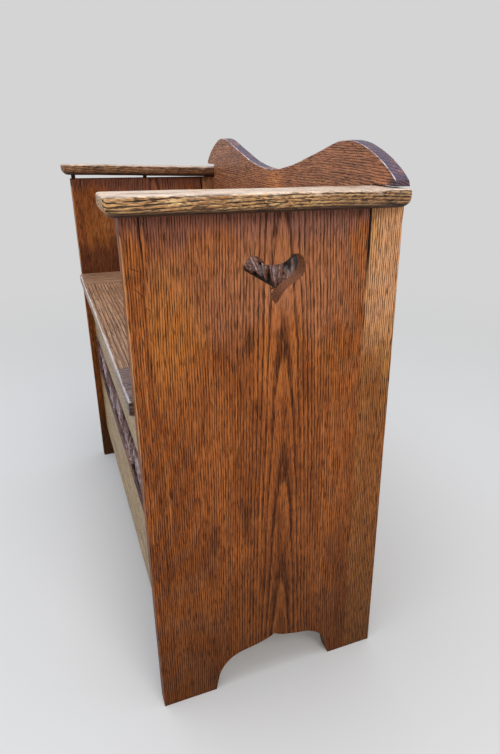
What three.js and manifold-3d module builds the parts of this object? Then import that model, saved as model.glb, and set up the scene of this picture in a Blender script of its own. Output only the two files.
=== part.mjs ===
// A small oak box settle: two pierced end panels carry flat arms, a shaped crest board and a carved
// back rail, and a chest with a carved front closed by a lift-up seat lid on two butt hinges.
// Millimetres, +Z up, +X along the length, the front faces -Y, and the origin is on the floor under
// the middle of the bounding box.
import * as THREE from 'three';
import { mergeVertices } from 'three/addons/utils/BufferGeometryUtils.js';
import Module from 'manifold-3d';

const wasm = await Module();
wasm.setup();

// ---- driving dimensions ----------------------------------------------------------------------
const innerHalf = 394;        // middle of the settle to the inner face of an end panel
const endThick = 24;
const frontY = -167;          // front edges of the end panels
const backY = 183;            // back edges of the end panels
// The left arm has lifted off its end, and the right one sits tight.
const endHeights = { left: 712, right: 716.6 };
const frontStripWidth = 22;   // narrow board glued on at the front of each end
const backStripWidth = 49;    // and at the back

const armThick = 22;
const armHalfWidth = 35;
const armFrontY = -183;
const armBackY = 180;
const armBottom = 717;        // underside of a level arm
const armCentreX = innerHalf + endThick / 2;
const liftedArmBottom = 717; // the left arm has lifted at the front and settled at the back
const liftedArmTilt = -0.0242; // radians about X

const backThick = 20;
const backFrontY = backY - backThick;
const boxBottom = 88;         // lower edges of the front and back of the chest
const seatTop = 496;
const seatThick = 20;
const seatBottom = seatTop - seatThick;
const seatFrontY = -172.5;
const lidHalf = 275.5;        // half the lid's length
const lidGap = 1;
const friezeBottom = 240;
const friezeTop = 350;
const frontThick = 18;
const boxFrontY = -152;       // face of the chest's front
const boxInnerY = boxFrontY + frontThick;
const backFriezeBottom = 515;
const backFriezeTop = 625;
const backJointZ = 300;       // joint between the two plain back boards

const hingeY = 117;           // hinge axis, level with the seat's top face
const hingeEdgeGap = 1;       // axis to the wood edge on each side
const hingeCentres = [-180, 180];
const leafHalf = 30;
const leafWidth = 25;
const leafThick = 1.5;
const knuckleRadius = 3.2;
const pinRadius = 1.2;
const fit = 0.3;              // clearance left round let-in metal and dowels

// ---- helpers ---------------------------------------------------------------------------------
const settle = new THREE.Group();

function place(name, geometry, material, parent = settle) {
  const mesh = new THREE.Mesh(geometry, material);
  mesh.name = name;
  parent.add(mesh);
  return mesh;
}

function block(x, y, z) {
  const geometry = new THREE.BoxGeometry(x[1] - x[0], y[1] - y[0], z[1] - z[0]);
  geometry.translate((x[0] + x[1]) / 2, (y[0] + y[1]) / 2, (z[0] + z[1]) / 2);
  return geometry;
}

// A (Y, Z) outline carried along X from x0 to x1.
function alongX(shape, x0, x1, curveSegments = 10) {
  const geometry = new THREE.ExtrudeGeometry(shape, { depth: x1 - x0, bevelEnabled: false, curveSegments });
  const turn = new THREE.Matrix4().makeBasis(
    new THREE.Vector3(0, 1, 0), new THREE.Vector3(0, 0, 1), new THREE.Vector3(1, 0, 0));
  return geometry.applyMatrix4(turn).translate(x0, 0, 0);
}

// An (X, Z) outline carried along Y from y0 to y1.
function alongY(shape, y0, y1, curveSegments = 10) {
  const geometry = new THREE.ExtrudeGeometry(shape, { depth: y1 - y0, bevelEnabled: false, curveSegments });
  const turn = new THREE.Matrix4().makeBasis(
    new THREE.Vector3(1, 0, 0), new THREE.Vector3(0, 0, 1), new THREE.Vector3(0, -1, 0));
  return geometry.applyMatrix4(turn).translate(0, y1, 0);
}

function solid(geometry) {
  const plain = geometry.clone();
  plain.deleteAttribute('normal');
  plain.deleteAttribute('uv');
  const merged = mergeVertices(plain, 1e-4);
  return new wasm.Manifold(new wasm.Mesh({
    numProp: 3,
    vertProperties: new Float32Array(merged.attributes.position.array),
    triVerts: new Uint32Array(merged.index.array),
  }));
}

function surface(manifold) {
  const mesh = manifold.getMesh();
  const geometry = new THREE.BufferGeometry();
  geometry.setAttribute('position', new THREE.BufferAttribute(mesh.vertProperties, 3));
  geometry.setIndex(new THREE.BufferAttribute(mesh.triVerts, 1));
  geometry.computeVertexNormals();
  return geometry;
}

function cut(geometry, ...tools) {
  return surface(tools.reduce((body, tool) => body.subtract(solid(tool)), solid(geometry)));
}

function join(geometry, ...others) {
  return surface(others.reduce((body, other) => body.add(solid(other)), solid(geometry)));
}

// ---- materials -------------------------------------------------------------------------------
const oak = (color, roughness) => new THREE.MeshStandardMaterial({ color, roughness, metalness: 0 });
const endOak = oak(0x8a4b22, 0.45);
const armOak = oak(0xa8763e, 0.5);
const crestOak = oak(0x7f4a2a, 0.4);
const seatOak = oak(0x8c6139, 0.45);
const frontOak = oak(0x94784a, 0.35);
const backOak = oak(0x6f3f20, 0.5);
const boxWood = oak(0xa98c62, 0.7);
const dowelOak = oak(0x3a2416, 0.7);
const brass = new THREE.MeshStandardMaterial({ color: 0x8f7436, roughness: 0.4, metalness: 1 });

// ---- dowels between the end panels and the arms ----------------------------------------------
const dowelRadius = 4.5;
const dowelBottom = 697;
const dowelTop = 730;
const dowelYs = { front: -159.5, middle: 2, back: 150 };

function dowel(x, y, extra = 0) {
  const peg = new THREE.CylinderGeometry(dowelRadius + extra, dowelRadius + extra,
    dowelTop - dowelBottom + 2 * extra, 16);
  return peg.rotateX(Math.PI / 2).translate(x, y, (dowelTop + dowelBottom) / 2);
}

// ---- end panels: three boards edge to edge, the middle one with the foot arch and the heart -----
const archCentreY = 10;
const archHalf = 96;
const archKnee = 28;          // top of the nearly upright foot
const archLean = 6;           // how far the foot leans in by then
const archBend = 80;          // half width at which the haunch turns over
const archShoulder = 63;      // height at which the steep haunch turns into the shallow rise
const archShoulderHalf = 50;
const archSwell = 12;         // half width and
const archSwellRise = 6;      // extra height of the control points beside the cusp
const archCusp = 78;

// Quarter-round haunches rise from the floor and meet in a shallow pointed arch.
function footArch(outline) {
  const y = archCentreY;
  const bendZ = archShoulder - archSwellRise;
  const swellZ = archShoulder + archSwellRise;
  outline.lineTo(y - archHalf, 0);
  outline.lineTo(y - archHalf + archLean, archKnee);
  outline.quadraticCurveTo(y - archBend, bendZ, y - archShoulderHalf, archShoulder);
  outline.quadraticCurveTo(y - archSwell, swellZ, y, archCusp);
  outline.quadraticCurveTo(y + archSwell, swellZ, y + archShoulderHalf, archShoulder);
  outline.quadraticCurveTo(y + archBend, bendZ, y + archHalf - archLean, archKnee);
  outline.lineTo(y + archHalf, 0);
}

const heartHeight = 637;

// A heart that leans a little: broad right lobe, narrower left lobe, and a tail that hooks.
function heartHole() {
  const y = archCentreY;
  const z = heartHeight;
  const heart = new THREE.Path();
  heart.moveTo(y + 1, z + 18.5);
  heart.bezierCurveTo(y + 9, z + 18.5, y + 14, z + 21, y + 19, z + 26);
  heart.bezierCurveTo(y + 24, z + 31, y + 31, z + 32, y + 36, z + 25);
  heart.bezierCurveTo(y + 42, z + 16, y + 41, z + 7, y + 33, z + 0.5);
  heart.bezierCurveTo(y + 24, z - 6, y + 14, z - 9, y + 7, z - 21);
  heart.quadraticCurveTo(y + 4, z - 27, y + 1, z - 29.5);
  heart.quadraticCurveTo(y - 4, z - 25, y - 6.5, z - 19.5);
  heart.quadraticCurveTo(y - 4, z - 13, y - 0.5, z - 10);
  heart.lineTo(y - 39, z + 14);
  heart.bezierCurveTo(y - 41, z + 18, y - 36, z + 29, y - 30, z + 30.5);
  heart.bezierCurveTo(y - 22, z + 31, y - 17, z + 26, y - 12, z + 19);
  return heart;
}

function endPanel(side, label) {
  const inner = side * innerHalf;
  const outer = side * (innerHalf + endThick);
  const [x0, x1] = [Math.min(inner, outer), Math.max(inner, outer)];
  const y1 = frontY + frontStripWidth;
  const y2 = backY - backStripWidth;
  const top = endHeights[label];
  const middle = new THREE.Shape();
  middle.moveTo(y1, 0);
  footArch(middle);
  middle.lineTo(y2, 0);
  middle.lineTo(y2, top);
  middle.lineTo(y1, top);
  middle.closePath();
  middle.holes.push(heartHole());
  const x = side * armCentreX;
  const boards = {
    front: block([x0, x1], [frontY, y1], [0, top]),
    middle: alongX(middle, x0, x1, 8),
    back: block([x0, x1], [y2, backY], [0, top]),
  };
  for (const [part, board] of Object.entries(boards)) {
    place(`${label}_end_${part}_board`, cut(board, dowel(x, dowelYs[part], fit)), endOak);
  }
}

// ---- arms: flat boards, rounded underneath on all four edges -----------------------------------
const armUnderRound = 12;
const armTopRound = 2;

function armProfile(low, high) {
  const profile = new THREE.Shape();
  const r = armUnderRound;
  const e = armTopRound;
  profile.moveTo(low + r, 0);
  profile.lineTo(high - r, 0);
  profile.absarc(high - r, r, r, -Math.PI / 2, 0, false);
  profile.lineTo(high, armThick - e);
  profile.absarc(high - e, armThick - e, e, 0, Math.PI / 2, false);
  profile.lineTo(low + e, armThick);
  profile.absarc(low + e, armThick - e, e, Math.PI / 2, Math.PI, false);
  profile.lineTo(low, r);
  profile.absarc(low + r, r, r, Math.PI, 1.5 * Math.PI, false);
  return profile;
}

function arm(side, label, bottom, tilt) {
  const across = solid(alongY(armProfile(-armHalfWidth, armHalfWidth), armFrontY, armBackY, 5));
  const lengthwise = solid(alongX(armProfile(armFrontY, armBackY), -armHalfWidth, armHalfWidth, 5));
  const mesh = place(`${label}_arm`, surface(across.intersect(lengthwise)), armOak);
  mesh.position.set(side * armCentreX, 0, bottom);
  mesh.rotation.x = tilt;
  mesh.updateMatrix();
  const intoArm = mesh.matrix.clone().invert();
  const holes = Object.values(dowelYs).map((y) => (
    dowel(side * armCentreX, y, fit).applyMatrix4(intoArm)));
  mesh.geometry = cut(mesh.geometry, ...holes);
}

function armDowels(side, label) {
  for (const [part, y] of Object.entries(dowelYs)) {
    place(`${label}_arm_dowel_${part}`, dowel(side * armCentreX, y), dowelOak);
  }
}

// ---- back: crest board, carved rail and two plain boards -------------------------------------
const crestHalf = 427;
const crestOversail = 741.1;  // underside of the crest's ends, two millimetres clear of the right arm
const crestNotchFoot = 711.5; // the notches take the arms
const armNotchHalf = armCentreX - armHalfWidth - 0.5;
const crestEndTop = 748;      // top of the short upright edge at each end
const crestEndLean = 1.5;
const humpRise = { left: 1.03, right: 0.94 }; // the right hump was sawn a little lower
// Half of the crest's top edge, from the valley in the middle to the end.
const crestEdge = [
  [0, 745], [44, 747.5], [80, 752], [114, 758], [155, 767.5], [199, 778], [235, 787],
  [268, 794.5], [298, 797], [328, 793.5], [356, 785.5], [380, 776], [401, 765], [416, 755.5],
];

function crestBoard() {
  const valley = crestEdge[0][1];
  const hump = (sign, rise) => crestEdge.slice(1).map(([x, z]) => (
    new THREE.Vector2(sign * x, valley + rise * (z - valley))));
  const right = hump(1, humpRise.right).reverse();
  const left = hump(-1, humpRise.left);
  const outline = new THREE.Shape();
  outline.moveTo(-innerHalf, backFriezeTop);
  outline.lineTo(innerHalf, backFriezeTop);
  outline.lineTo(innerHalf, crestNotchFoot);
  outline.lineTo(armNotchHalf, crestNotchFoot);
  outline.lineTo(armNotchHalf, crestOversail);
  outline.lineTo(crestHalf, crestOversail);
  outline.lineTo(crestHalf - crestEndLean, crestEndTop);
  outline.splineThru([...right, new THREE.Vector2(0, valley), ...left,
    new THREE.Vector2(-crestHalf + crestEndLean, crestEndTop)]);
  outline.lineTo(-crestHalf, crestOversail);
  outline.lineTo(-armNotchHalf, crestOversail);
  outline.lineTo(-armNotchHalf, crestNotchFoot);
  outline.lineTo(-innerHalf, crestNotchFoot);
  outline.closePath();
  place('crest_board', alongY(outline, backFrontY, backY, 3), crestOak);
}

function backBoards() {
  const x = [-innerHalf, innerHalf];
  const y = [backFrontY, backY];
  place('back_carved_rail', block(x, y, [backFriezeBottom, backFriezeTop]), backOak);
  place('back_upper_board', block(x, y, [backJointZ, backFriezeBottom]), backOak);
  place('back_lower_board', block(x, y, [boxBottom, backJointZ]), backOak);
}

// ---- chest: front, floor, cleats and glue blocks ----------------------------------------------
const floorThick = 12;
const cleat = 18;
const floorTop = 122;
const blockSide = 22;

function chestFront() {
  const x = [-innerHalf, innerHalf];
  const y = [boxFrontY, boxInnerY];
  place('front_top_rail', block(x, y, [friezeTop, seatBottom]), frontOak);
  place('front_carved_rail', block(x, y, [friezeBottom, friezeTop]), frontOak);
  place('front_lower_board', block(x, y, [boxBottom, friezeBottom]), frontOak);
}

function chestFloor() {
  const x = [-innerHalf, innerHalf];
  const count = 3;
  const gap = 0.5;
  const width = (backFrontY - boxInnerY) / count;
  const names = ['front', 'middle', 'back'];
  names.forEach((part, i) => {
    const y = [boxInnerY + i * width + gap / 2, boxInnerY + (i + 1) * width - gap / 2];
    place(`floor_${part}_board`, block(x, y, [floorTop - floorThick, floorTop]), boxWood);
  });
  const z = [floorTop - floorThick - cleat, floorTop - floorThick];
  place('floor_front_cleat', block(x, [boxInnerY, boxInnerY + cleat], z), boxWood);
  place('floor_back_cleat', block(x, [backFrontY - cleat, backFrontY], z), boxWood);
}

function seatCleats() {
  const z = [seatBottom - cleat, seatBottom];
  const inside = innerHalf - cleat;
  place('left_seat_cleat', block([-innerHalf, -inside], [boxInnerY, backFrontY], z), boxWood);
  place('right_seat_cleat', block([inside, innerHalf], [boxInnerY, backFrontY], z), boxWood);
  place('back_seat_cleat', block([-inside, inside], [backFrontY - cleat, backFrontY], z), boxWood);
}

function glueBlocks() {
  const z = [floorTop, seatBottom - cleat];
  const xs = { left: [-innerHalf, -innerHalf + blockSide], right: [innerHalf - blockSide, innerHalf] };
  const ys = { front: [boxInnerY, boxInnerY + blockSide], back: [backFrontY - blockSide, backFrontY] };
  for (const [sideName, x] of Object.entries(xs)) {
    for (const [depthName, y] of Object.entries(ys)) {
      place(`${sideName}_${depthName}_glue_block`, block(x, y, z), boxWood);
    }
  }
}

// ---- hinges: let in flush, each with a fixed leaf, a moving leaf, a pin and four screws --------
const knuckleSplit = 10;      // the moving leaf has the middle knuckle, up to this far each way
const knuckleGap = 0.3;
const leafSetback = knuckleRadius + 0.4;
const screwX = 19;
const screwY = 15;
const screwHead = 3;
const screwShank = 1.6;
const screwLength = 14;
const screwTip = 4;           // length of the screw's tapered tip
const screwTipShare = 0.4;    // tip's radius as a share of the shank's
const screwHeadDepth = 2;
const screwHeadRim = 0.2;
const overcut = 1;            // how far a hole's tool stands above the face it is cut from
const pinHead = 2.4;
const pinHeadLength = 1;
const pinHeadChamfer = 0.7;   // the head's end as a share of its radius
const pinEndPlay = 0.3;
const pinFit = 0.08;
const notchSpare = 1.5;       // extra length of the knuckles' notch at each end

function barrel(x0, x1, radius, sides = 20) {
  const tube = new THREE.CylinderGeometry(radius, radius, x1 - x0, sides);
  return tube.rotateZ(Math.PI / 2).translate((x0 + x1) / 2, hingeY, seatTop);
}

// A countersunk screw standing in its hole, or with extra all round, the hole itself.
function screw(x, y, extra = 0) {
  const top = seatTop + (extra ? overcut : 0);
  const bottom = seatTop - screwLength - extra;
  const profile = [
    [0, bottom], [screwShank * screwTipShare + extra, bottom], [screwShank + extra, bottom + screwTip],
    [screwShank + extra, seatTop - screwHeadDepth], [screwHead + extra, seatTop - screwHeadRim],
    [screwHead + extra, top], [0, top],
  ].map(([r, z]) => new THREE.Vector2(r, z));
  return new THREE.LatheGeometry(profile, 12).rotateX(Math.PI / 2).translate(x, y, 0);
}

// side -1 is the leaf on the lid, side +1 the leaf on the hinge rail.
function leafPlaces(centre, side) {
  return [-screwX, screwX].map((dx) => [centre + dx, hingeY + side * screwY]);
}

function leaf(centre, side) {
  const near = hingeY + side * leafSetback;
  const far = hingeY + side * leafWidth;
  const z = [seatTop - leafThick, seatTop];
  const plate = block([centre - leafHalf, centre + leafHalf], [Math.min(near, far), Math.max(near, far)], z);
  const spans = side < 0
    ? [[-knuckleSplit + knuckleGap, knuckleSplit - knuckleGap]]
    : [[-leafHalf, -knuckleSplit], [knuckleSplit, leafHalf]];
  const parts = spans.flatMap(([a, b]) => [
    block([centre + a, centre + b], [Math.min(hingeY, near), Math.max(hingeY, near)], z),
    barrel(centre + a, centre + b, knuckleRadius),
  ]);
  const holes = leafPlaces(centre, side).map(([x, y]) => screw(x, y, fit / 2));
  const bore = barrel(centre - leafHalf - overcut, centre + leafHalf + overcut, pinRadius + pinFit);
  return cut(join(plate, ...parts), bore, ...holes);
}

function hingePin(centre) {
  const end = leafHalf + pinEndPlay;
  const tip = end + pinHeadLength;
  const profile = [
    [0, -tip], [pinHead * pinHeadChamfer, -tip], [pinHead, -end], [pinRadius, -end],
    [pinRadius, end], [pinHead, end], [pinHead * pinHeadChamfer, tip], [0, tip],
  ].map(([r, x]) => new THREE.Vector2(r, x));
  return new THREE.LatheGeometry(profile, 20).rotateZ(-Math.PI / 2).translate(centre, hingeY, seatTop);
}

// What a hinge takes out of the wood on one side: the leaf's bed, the knuckle's notch, the screws.
function hingeBeds(side) {
  return hingeCentres.flatMap((centre) => {
    const x = [centre - leafHalf - fit, centre + leafHalf + fit];
    const edge = hingeY;
    const bed = hingeY + side * (leafWidth + fit);
    const notch = hingeY + side * (leafSetback + fit);
    return [
      block(x, [Math.min(edge, bed), Math.max(edge, bed)], [seatTop - leafThick - fit, seatTop + overcut]),
      block([x[0] - notchSpare, x[1] + notchSpare], [Math.min(edge, notch), Math.max(edge, notch)],
        [seatTop - knuckleRadius - 2 * fit, seatTop + overcut]),
      ...leafPlaces(centre, side).map(([sx, sy]) => screw(sx, sy, fit)),
    ];
  });
}

function hinges() {
  hingeCentres.forEach((centre) => {
    const label = centre < 0 ? 'left' : 'right';
    place(`${label}_hinge_fixed_leaf`, leaf(centre, 1), brass);
    place(`${label}_hinge_lid_leaf`, leaf(centre, -1), brass);
    place(`${label}_hinge_pin`, hingePin(centre), brass);
    for (const [side, owner] of [[1, 'rail'], [-1, 'lid']]) {
      leafPlaces(centre, side).forEach(([x, y], i) => {
        const end = i === 0 ? 'a' : 'b';
        place(`${label}_hinge_${owner}_screw_${end}`, screw(x, y), brass);
      });
    }
  });
}

// ---- seat: fixed end pieces, hinge rail and the lid with its battens ---------------------------
const nosing = 3;             // round on the seat's front edge

function seatProfile(y0, y1) {
  const profile = new THREE.Shape();
  profile.moveTo(y0 + nosing, seatBottom);
  profile.lineTo(y1, seatBottom);
  profile.lineTo(y1, seatTop);
  profile.lineTo(y0 + nosing, seatTop);
  profile.absarc(y0 + nosing, seatTop - nosing, nosing, Math.PI / 2, Math.PI, false);
  profile.absarc(y0 + nosing, seatBottom + nosing, nosing, Math.PI, 1.5 * Math.PI, false);
  return profile;
}

const lidJointY = -26;        // glue joint between the lid's two boards
const lidBackY = hingeY - hingeEdgeGap;
const battenThick = 18;
const battenXs = { left: [-232, -187], right: [187, 232] };
const battenY = [-122, 88];

function seat() {
  const endInner = lidHalf + lidGap;
  place('left_seat_end', alongX(seatProfile(seatFrontY, backFrontY), -innerHalf, -endInner, 3), seatOak);
  place('right_seat_end', alongX(seatProfile(seatFrontY, backFrontY), endInner, innerHalf, 3), seatOak);
  const rail = block([-endInner, endInner], [hingeY + hingeEdgeGap, backFrontY], [seatBottom, seatTop]);
  place('hinge_rail', cut(rail, ...hingeBeds(1)), seatOak);
  const lidFront = alongX(seatProfile(seatFrontY, lidJointY), -lidHalf, lidHalf, 3);
  place('lid_front_board', lidFront, seatOak);
  const lidBack = block([-lidHalf, lidHalf], [lidJointY, lidBackY], [seatBottom, seatTop]);
  place('lid_back_board', cut(lidBack, ...hingeBeds(-1)), seatOak);
  for (const [side, x] of Object.entries(battenXs)) {
    place(`lid_${side}_batten`, block(x, battenY, [seatBottom - battenThick, seatBottom]), boxWood);
  }
}

// ---- assembly ----------------------------------------------------------------------------------
endPanel(-1, 'left');
endPanel(1, 'right');
arm(-1, 'left', liftedArmBottom, liftedArmTilt);
arm(1, 'right', armBottom, 0);
armDowels(-1, 'left');
armDowels(1, 'right');
crestBoard();
backBoards();
chestFront();
chestFloor();
seatCleats();
glueBlocks();
hinges();
seat();

export default settle;
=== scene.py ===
import math

import bpy
import numpy as np
from mathutils import Matrix, Vector
from mathutils.geometry import tessellate_polygon


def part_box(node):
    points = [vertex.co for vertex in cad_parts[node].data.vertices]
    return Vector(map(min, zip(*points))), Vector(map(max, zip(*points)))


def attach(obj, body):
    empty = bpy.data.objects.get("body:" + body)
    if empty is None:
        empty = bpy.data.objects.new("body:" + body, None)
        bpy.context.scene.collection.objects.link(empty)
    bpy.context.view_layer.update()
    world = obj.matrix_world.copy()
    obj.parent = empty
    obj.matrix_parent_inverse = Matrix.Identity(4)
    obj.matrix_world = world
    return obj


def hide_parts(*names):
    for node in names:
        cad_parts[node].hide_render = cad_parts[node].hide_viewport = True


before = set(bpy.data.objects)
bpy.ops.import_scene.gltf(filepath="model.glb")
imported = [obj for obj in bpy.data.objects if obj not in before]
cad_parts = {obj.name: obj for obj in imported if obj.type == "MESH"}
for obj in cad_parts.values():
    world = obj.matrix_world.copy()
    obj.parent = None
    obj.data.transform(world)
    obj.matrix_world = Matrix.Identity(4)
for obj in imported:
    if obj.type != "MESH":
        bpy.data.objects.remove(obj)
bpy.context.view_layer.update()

# ---- The eye -------------------------------------
# A person standing off the settle's right-hand end, a little in front of it, looks down along it,
# so that the outside of the near end fills the view and the chest's front is seen edge on.
eye_place = Vector((1.0505, -0.2409, 0.7889))
eye_turn = 0.385       # radians from the settle's length
eye_drop = 0.387       # radians below the horizon
eye_roll = 0.006
forward = Vector((
    -math.cos(eye_drop) * math.cos(eye_turn),
    math.cos(eye_drop) * math.sin(eye_turn),
    -math.sin(eye_drop),
))
level = forward.cross(Vector((0, 0, 1))).normalized()
upright = level.cross(forward)
side = level * math.cos(eye_roll) + upright * math.sin(eye_roll)
above = upright * math.cos(eye_roll) - level * math.sin(eye_roll)
lens = bpy.data.cameras.new("eye")
lens.sensor_width = 36     # millimetres, as the focal length
lens.lens = 27.38
lens.shift_x = -0.0385     # a share of the view's longer side
eye = bpy.data.objects.new("eye", lens)
eye.matrix_world = Matrix.Translation(eye_place) @ Matrix((side, above, -forward)).transposed().to_4x4()
bpy.context.scene.collection.objects.link(eye)
bpy.context.scene.camera = eye
bpy.context.scene.view_settings.view_transform = "Standard"

# ---- The end panels ------------------------------
# Each end is three oak boards glued edge to edge: a narrow strip, a wide middle board with a sawn
# foot arch and a pierced heart, and a second strip. The oak is stained red-brown and waxed, its
# open pores are black, and its arrises are rubbed through to pale wood.


class Value:
    """One socket of a material's nodes. Arithmetic on it adds Math nodes."""

    def __init__(self, tree, socket):
        self.tree = tree
        self.socket = socket

    def maths(self, operation, *values):
        node = self.tree.nodes.new("ShaderNodeMath")
        node.operation = operation
        for place, value in zip(node.inputs, values):
            feed(self.tree, place, value)
        return Value(self.tree, node.outputs[0])

    def __add__(self, other):
        return self.maths("ADD", self, other)

    def __sub__(self, other):
        return self.maths("SUBTRACT", self, other)

    def __rsub__(self, other):
        return self.maths("SUBTRACT", other, self)

    def __mul__(self, other):
        return self.maths("MULTIPLY", self, other)

    def __truediv__(self, other):
        return self.maths("DIVIDE", self, other)

    __radd__ = __add__
    __rmul__ = __mul__

    def root(self):
        return self.maths("SQRT", self)

    def fraction(self):
        return self.maths("FRACT", self)

    def size(self):
        return self.maths("ABSOLUTE", self)


def feed(tree, place, value):
    """Links a Value to a node's socket, or sets the socket to a plain number or colour."""
    if isinstance(value, Value):
        tree.links.new(value.socket, place)
    else:
        place.default_value = value


class Finish:
    """A material made of nodes, with the few kinds of node that wood and brass need."""

    def __init__(self, name, **constants):
        self.material = bpy.data.materials.new(name)
        self.material.use_nodes = True
        self.tree = self.material.node_tree
        self.shader = self.tree.nodes["Principled BSDF"]
        for socket, value in constants.items():
            self.shader.inputs[socket.replace("_", " ")].default_value = value

    def node(self, kind, settings, sockets, out=0):
        """Adds a node: its settings first, then its sockets' values or links, and gives an output."""
        made = self.tree.nodes.new("ShaderNode" + kind)
        for name, setting in settings.items():
            setattr(made, name, setting)
        for name, value in sockets.items():
            feed(self.tree, made.inputs[name], value)
        if isinstance(out, tuple):
            return [Value(self.tree, made.outputs[name]) for name in out]
        return Value(self.tree, made.outputs[out])

    def millimetres(self):
        """The point's place in the settle's own frame, as three numbers in millimetres."""
        place = self.node("TexCoord", {}, {}, "Object")
        scaled = self.node("VectorMath", {"operation": "SCALE"}, {0: place, "Scale": 1000})
        return self.node("SeparateXYZ", {}, {0: scaled}, ("X", "Y", "Z"))

    def noise(self, u, v, w, cell, detail=2.0, roughness=0.5):
        """Cloudy noise, 0 to 1, whose grains measure cell = (along u, along v, along w)."""
        parts = {"X": u * (1 / cell[0]), "Y": v * (1 / cell[1]), "Z": w * (1 / cell[2])}
        place = self.node("CombineXYZ", {}, parts)
        sockets = {"Vector": place, "Scale": 1, "Detail": detail, "Roughness": roughness}
        return self.node("TexNoise", {}, sockets)

    def step(self, value, low, high):
        """Rises smoothly from 0 at low to 1 at high, or falls where low is the larger."""
        settings = {"interpolation_type": "SMOOTHSTEP"}
        return self.node("MapRange", settings, {"Value": value, "From Min": low, "From Max": high})

    def blend(self, share, under, over):
        """The colour under, covered by the colour over to the given share."""
        return self.node("Mix", {"data_type": "RGBA"}, {0: share, 6: under, 7: over}, 2)

    def attribute(self, name):
        return self.node("Attribute", {"attribute_name": name}, {}, "Fac")

    def scratch(self, along, across, cloud, start, end, width, strength, tint):
        """A scratch: the distance from the line between two (along, across) points, under width."""
        run = (end[0] - start[0], end[1] - start[1])
        length = math.hypot(*run)
        unit = (run[0] / length, run[1] / length)
        u = along - start[0] + (cloud - 0.5) * 6
        v = across - start[1]
        gone = u * unit[0] + v * unit[1]
        off = (v * unit[0] - u * unit[1]).size()
        ends = self.step(gone, -1, length * 0.3) * self.step(gone, length + 1, length * 0.6)
        return self.step(off, width, width * 0.3) * ends * strength, tint

    def smudge(self, along, across, cloud, centre, radii, strength, tint):
        """A cloudy oval patch, by the distance from its centre in units of its two radii."""
        u = (along - centre[0]) * (1 / radii[0])
        v = (across - centre[1]) * (1 / radii[1])
        far = (u * u + v * v).root() + (cloud - 0.5) * 1.6
        return self.step(far, 1.0, 0.35) * strength, tint

    def foot(self, along, across, cloud, start, end, strength, tint):
        """Darkening that grows from the start height down to the end height along the grain."""
        return self.step(along + (cloud - 0.5) * 200, start, end) * strength, tint

    def cover(self, colour, roughness, height, depth):
        """Gives the shader its colour and roughness, and a relief of that depth in metres."""
        feed(self.tree, self.shader.inputs["Base Color"], colour)
        feed(self.tree, self.shader.inputs["Roughness"], roughness)
        bump = self.node("Bump", {}, {"Height": height, "Distance": depth, "Strength": 1.0}, "Normal")
        feed(self.tree, self.shader.inputs["Normal"], bump)
        return self.material


def shade(red, green, blue):
    """A colour given as 0 to 255 on a screen, as the linear numbers that a shader uses."""
    levels = np.array((red, green, blue)) / 255
    linear = np.where(levels <= 0.04045, levels / 12.92, ((levels + 0.055) / 1.055) ** 2.4)
    return (*linear.tolist(), 1.0)


def palette(**colours):
    """The named colours of one oak, each given as for shade."""
    return {name: shade(*colour) for name, colour in colours.items()}


pore_depth = 0.0007     # metres


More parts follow.
